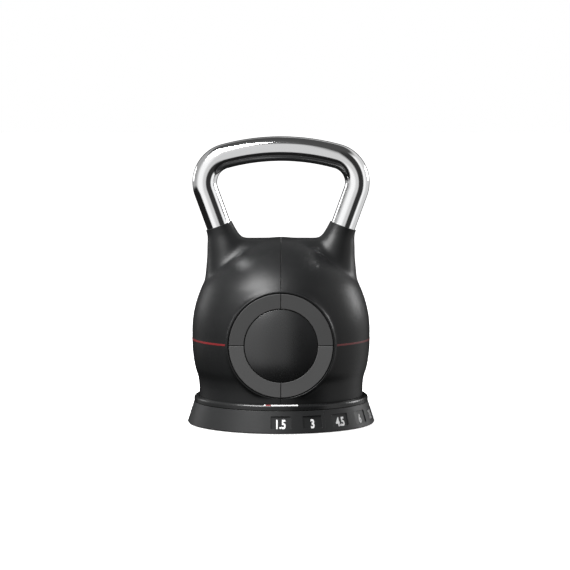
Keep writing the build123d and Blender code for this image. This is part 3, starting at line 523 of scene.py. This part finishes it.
carrier_black = moulded_plastic("carrier_black", 0.006, 0.5)
cap_black = moulded_plastic("domed_cap_black", 0.010, 0.26, 2600, 0.00002, shine=0.75)
for end in ("front", "back"):
    dress(nodes[end + "_ring_carrier"], carrier_black)
    dress(nodes[end + "_dome_cap"], cap_black)
    for quarter in range(1, 5):
        dress(nodes[f"{end}_ring_segment_{quarter}"], ring_grey.material)

# ---- accent band ----------------------------------------------------------------------------------------
# A thin strip of red plastic let into the barrel at its widest, from rim to rim on each side. The same red
# marks the end of the pointer bar on the collar.
band_red = Finish("accent_red", IOR=1.49, Specular_IOR_Level=0.5)
band_cloud = band_red.noise(50, 3, 0.6)
band_red.set("Base Color", band_red.blend(band_cloud, (0.13, 0.006, 0.008, 1), (0.18, 0.010, 0.012, 1)))
band_red.set("Roughness", 0.34 + band_cloud * 0.1)
band_red.relief(band_red.noise(1400, 2), 0.00002, 0.0002)
for node in ("accent_band_left", "accent_band_right", "indicator_bar_red"):
    dress(nodes[node], band_red.material)

# ---- base: collar, dial ring and numbers ----------------------------------------------------------------
# The collar is fixed to the tray and carries a light pointer bar with a red end. The dial ring under it
# turns; its skirt has a window for each number, printed in white on the window's floor.
collar_black = moulded_plastic("collar_black", 0.010, 0.24, 2600, 0.000012, shine=0.4)
dress(nodes["base_collar"], collar_black)


def skirt_seam(paint):
    """Mould parting line down the skirt, a little under halfway from the second number to the third."""
    x, y = paint.axis("X"), paint.axis("Y")
    angle = radians(-61.5)
    off = paint.node("ShaderNodeMath", {"operation": "ABSOLUTE"}, {0: x * sin(angle) - y * cos(angle)})
    front = paint.ramp(x * cos(angle) + y * sin(angle), 0.02, 0.03)
    return paint.ramp(off, 0.00015, 0.00035, 1.0, 0.0) * front


dial_black = moulded_plastic("dial_black", 0.012, 0.42, lines=(skirt_seam,), shine=0.34)
dress(nodes["dial_ring"], dial_black)

white_ink = Finish("white_ink", IOR=1.5, Specular_IOR_Level=0.4)
ink_cloud = white_ink.noise(300, 3, 0.6)
white_ink.set("Base Color", white_ink.blend(ink_cloud, grey(0.62), grey(0.80)))
white_ink.set("Roughness", 0.45 + ink_cloud * 0.2)
white_ink.relief(white_ink.noise(2000, 2), 0.00001)
dress(nodes["indicator_bar_white"], white_ink.material)

BASE_R, DIAL_TOP_R, DIAL_LOW_Z, DIAL_TOP_Z = 0.099, 0.092, 0.0008, 0.0234
WINDOW_LOW_Z, WINDOW_TOP_Z, WINDOW_DEPTH = 0.0052, 0.0182, 0.0013
DIAL_STEP = 20.0
NUMBER_HEIGHT, NUMBER_SQUEEZE, NUMBER_DROP = 0.0098, 0.74, 0.0016
INK_T, INK_LIFT = 0.00012, 0.00005
slope = atan2(BASE_R - DIAL_TOP_R, DIAL_TOP_Z - DIAL_LOW_Z)
mid_z = (WINDOW_LOW_Z + WINDOW_TOP_Z) / 2
face_r = BASE_R - (mid_z - DIAL_LOW_Z) * (BASE_R - DIAL_TOP_R) / (DIAL_TOP_Z - DIAL_LOW_Z) - WINDOW_DEPTH
for setting, text in enumerate(("1.5", "3", "4.5", "6", "7.5", "9", "10.5", "12")):
    curve = bpy.data.curves.new("number_curve", "FONT")
    curve.body, curve.size = text, 1.0
    curve.align_x, curve.align_y = "CENTER", "CENTER"
    # the offset makes the strokes bolder, and the depth is set by the scale further down
    curve.offset, curve.extrude, curve.resolution_u = 0.036, 0.02, 6
    held = bpy.data.objects.new("number_curve", curve)
    bpy.context.scene.collection.objects.link(held)
    bpy.context.view_layer.update()
    bm = baked(held)
    bpy.data.objects.remove(held)
    low = Vector([min(v.co[i] for v in bm.verts) for i in range(3)])
    high = Vector([max(v.co[i] for v in bm.verts) for i in range(3)])
    tall = NUMBER_HEIGHT / (high.y - low.y)
    bmesh.ops.translate(bm, vec=-(low + high) / 2, verts=bm.verts[:])
    bmesh.ops.scale(bm, vec=(tall * NUMBER_SQUEEZE, tall, INK_T / (high.z - low.z)), verts=bm.verts[:])
    turn = radians(-90 + setting * DIAL_STEP)
    outward = Vector((cos(turn) * cos(slope), sin(turn) * cos(slope), sin(slope)))
    right = Vector((-sin(turn), cos(turn), 0))
    up = outward.cross(right)
    place = Matrix((right, up, outward)).transposed().to_4x4()
    window = Vector((face_r * cos(turn), face_r * sin(turn), mid_z))
    place.translation = window + outward * INK_LIFT - up * NUMBER_DROP
    bmesh.ops.transform(bm, matrix=place, verts=bm.verts[:])
    bmesh.ops.recalc_face_normals(bm, faces=bm.faces[:])
    number = new_piece("number_" + text.replace(".", "_"), bm)
    dress(number, white_ink.material)
    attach(number, "dial")

# ---- base: the pieces under the dial --------------------------------------------------------------------
# Cover, tray, drive plate and hub are moulded in matt black plastic and screwed together. The foot ring and
# the pad under the plates are rubber. The washer, the click plunger and the spacers are white nylon.
base_black = moulded_plastic("base_black", 0.018, 0.5)
for node in ("bottom_cover", "base_tray", "drive_plate", "drive_hub"):
    dress(nodes[node], base_black)

rubber = Finish("foot_rubber", IOR=1.45, Specular_IOR_Level=0.3)
rubber_cloud = rubber.noise(80, 4, 0.6)
rubber.set("Base Color", rubber.blend(rubber_cloud, grey(0.010), grey(0.026)))
rubber.set("Roughness", 0.75 + rubber_cloud * 0.15)
rubber.relief(rubber.noise(900, 3), 0.00008, 0.0003)
for node in ("foot_ring", "tray_pad"):
    dress(nodes[node], rubber.material)

nylon = Finish("white_nylon", IOR=1.5)
nylon_cloud = nylon.noise(120, 3, 0.6)
nylon.set("Base Color", nylon.blend(nylon_cloud, (0.70, 0.68, 0.62, 1), (0.80, 0.79, 0.75, 1)))
nylon.set("Roughness", 0.4 + nylon_cloud * 0.15)
nylon.relief(nylon.noise(1200, 2), 0.00002, 0.0003)
for node in ("thrust_washer", "detent_plunger", "spindle_spacers"):
    dress(nodes[node], nylon.material)


# ---- metal parts inside ---------------------------------------------------------------------------------
# Posts, spindle, selector discs and bridge are machined steel, and screws, bolts and nut are zinc plated. The
# springs are drawn wire, and the spindle runs in a turned brass bush.
def bare_steel(name, tone, roughness, turning=900.0):
    """Machined steel with fine tool lines and slightly dull patches."""
    steel = Finish(name, Metallic=1.0)
    cloud = steel.noise(70, 4, 0.6)
    lines = steel.noise(turning, 2, 0.5, (0.2, 0.2, 3.0))
    worn = steel.edge(0.0004)
    base = steel.blend(cloud, grey(tone * 0.8), grey(tone * 1.1))
    steel.set("Base Color", steel.blend(worn * 0.5, base, grey(min(0.95, tone * 1.35))))
    steel.set("Roughness", roughness + cloud * 0.12 + lines * 0.06)
    steel.relief(lines, 0.00002, 0.0003)
    return steel.material


spindle_steel = bare_steel("spindle_steel", 0.50, 0.24)
zinc_steel = bare_steel("zinc_screw_steel", 0.58, 0.26)
spring_steel = bare_steel("spring_steel", 0.42, 0.22)
for node in ("guide_posts", "spindle_shaft", "carrier_bridge", *(f"selector_disc_{k}" for k in range(1, 8))):
    dress(nodes[node], spindle_steel)
for node in ("base_screws", "dial_screws", "hub_screws", "bridge_screws", "shell_screws", "handle_bolts",
             "bolt_washers", "handle_plugs", "spindle_nut"):
    dress(nodes[node], zinc_steel)
for node in ("detent_spring", "wave_washer"):
    dress(nodes[node], spring_steel)

brass = Finish("bush_brass", Metallic=1.0)
brass_cloud = brass.noise(90, 4, 0.6)
brass.set("Base Color", brass.blend(brass_cloud, (0.62, 0.42, 0.16, 1), (0.78, 0.56, 0.25, 1)))
brass.set("Roughness", 0.26 + brass_cloud * 0.15)
brass.relief(brass.noise(900, 2, 0.5, (0.2, 0.2, 3.0)), 0.00002, 0.0003)
dress(nodes["spindle_bush"], brass.material)

# ---- weight plates --------------------------------------------------------------------------------------
# Seven discs cut from thick steel plate and painted in hammer-finish black, chipped along their edges. They
# lie in a stack on the tray's pad, and the chosen ones hang from the spindle's discs.
iron = Finish("plate_iron_paint", IOR=1.5, Specular_IOR_Level=0.5)
pits = iron.node("ShaderNodeTexVoronoi", {"feature": "SMOOTH_F1"},
                 {"Vector": iron.place, "Scale": 420.0, "Smoothness": 0.6})
iron_cloud = iron.noise(45, 4, 0.6)
chips = iron.edge(0.0006) * iron.ramp(iron.noise(230, 4, 0.7), 0.46, 0.56)
iron.set("Base Color", iron.blend(chips, iron.blend(iron_cloud, grey(0.030), grey(0.055)), grey(0.34)))
iron.set("Metallic", chips)
iron.set("Roughness", 0.42 + iron_cloud * 0.16 - chips * 0.1)
iron.relief(pits * 0.7 + iron_cloud * 0.3, 0.00012, 0.0005)
for k in range(1, 8):
    dress(nodes[f"weight_plate_{k}"], iron.material)

# ---- the studio's surroundings --------------------------------------------------------------------------
# Seen directly the room is white. What the bell reflects is a tall pale wall in front and at the sides with
# one dark strip, a dimmer ceiling and a dark floor.
room = bpy.data.worlds.new("studio")
bpy.context.scene.world = room
room.use_nodes = True


class Room(Finish):
    """The room's surroundings, fed through the same node method."""

    def __init__(self, world):
        self.tree = world.node_tree
        self.shader = self.tree.nodes["Background"]
        self.place = self.node("ShaderNodeTexCoord", output="Generated")


# azimuth is 0 straight in front and grows to the right, in radians
studio = Room(room)
up, east, north = studio.axis("Z"), studio.axis("X"), studio.axis("Y")
azimuth = studio.node("ShaderNodeMath", {"operation": "ARCTAN2"}, {0: east, 1: north * -1.0})
# the wall reaches lower in front and on the right than on the left
foot_of_wall = studio.ramp(azimuth, -1.5, -0.5, 0.34, 0.0)
wall = studio.ramp(up - foot_of_wall, -0.54, -0.44) * studio.ramp(up, 0.84, 0.66)
strip = studio.ramp(azimuth, 0.10, 0.30) * studio.ramp(azimuth, 1.14, 0.94)
behind = studio.ramp(north, 0.72, 0.86)
ahead = studio.ramp(azimuth, -0.5, -0.1) * studio.ramp(azimuth, 0.4, 0.1)
flanks = studio.ramp(azimuth, -0.9, -1.6) * 0.62 + studio.ramp(azimuth, 1.2, 1.8) * 0.35
ceiling = studio.ramp(up, 0.6, 0.9) * 0.06
wall = wall * (1 - strip * 0.98) * (1 - behind) * (1 - ahead * 0.35) * (1 - flanks) * 1.02
light = 0.012 + wall + ceiling
sight = studio.node("ShaderNodeLightPath", output="Is Camera Ray")
light = light * (1 - sight) + sight
studio.set("Color", studio.node("ShaderNodeCombineColor", inputs={0: light, 1: light, 2: light}))
studio.set("Strength", 1.0)

# ---- sizes ----------------------------------------------------------------------------------------------
low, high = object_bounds()
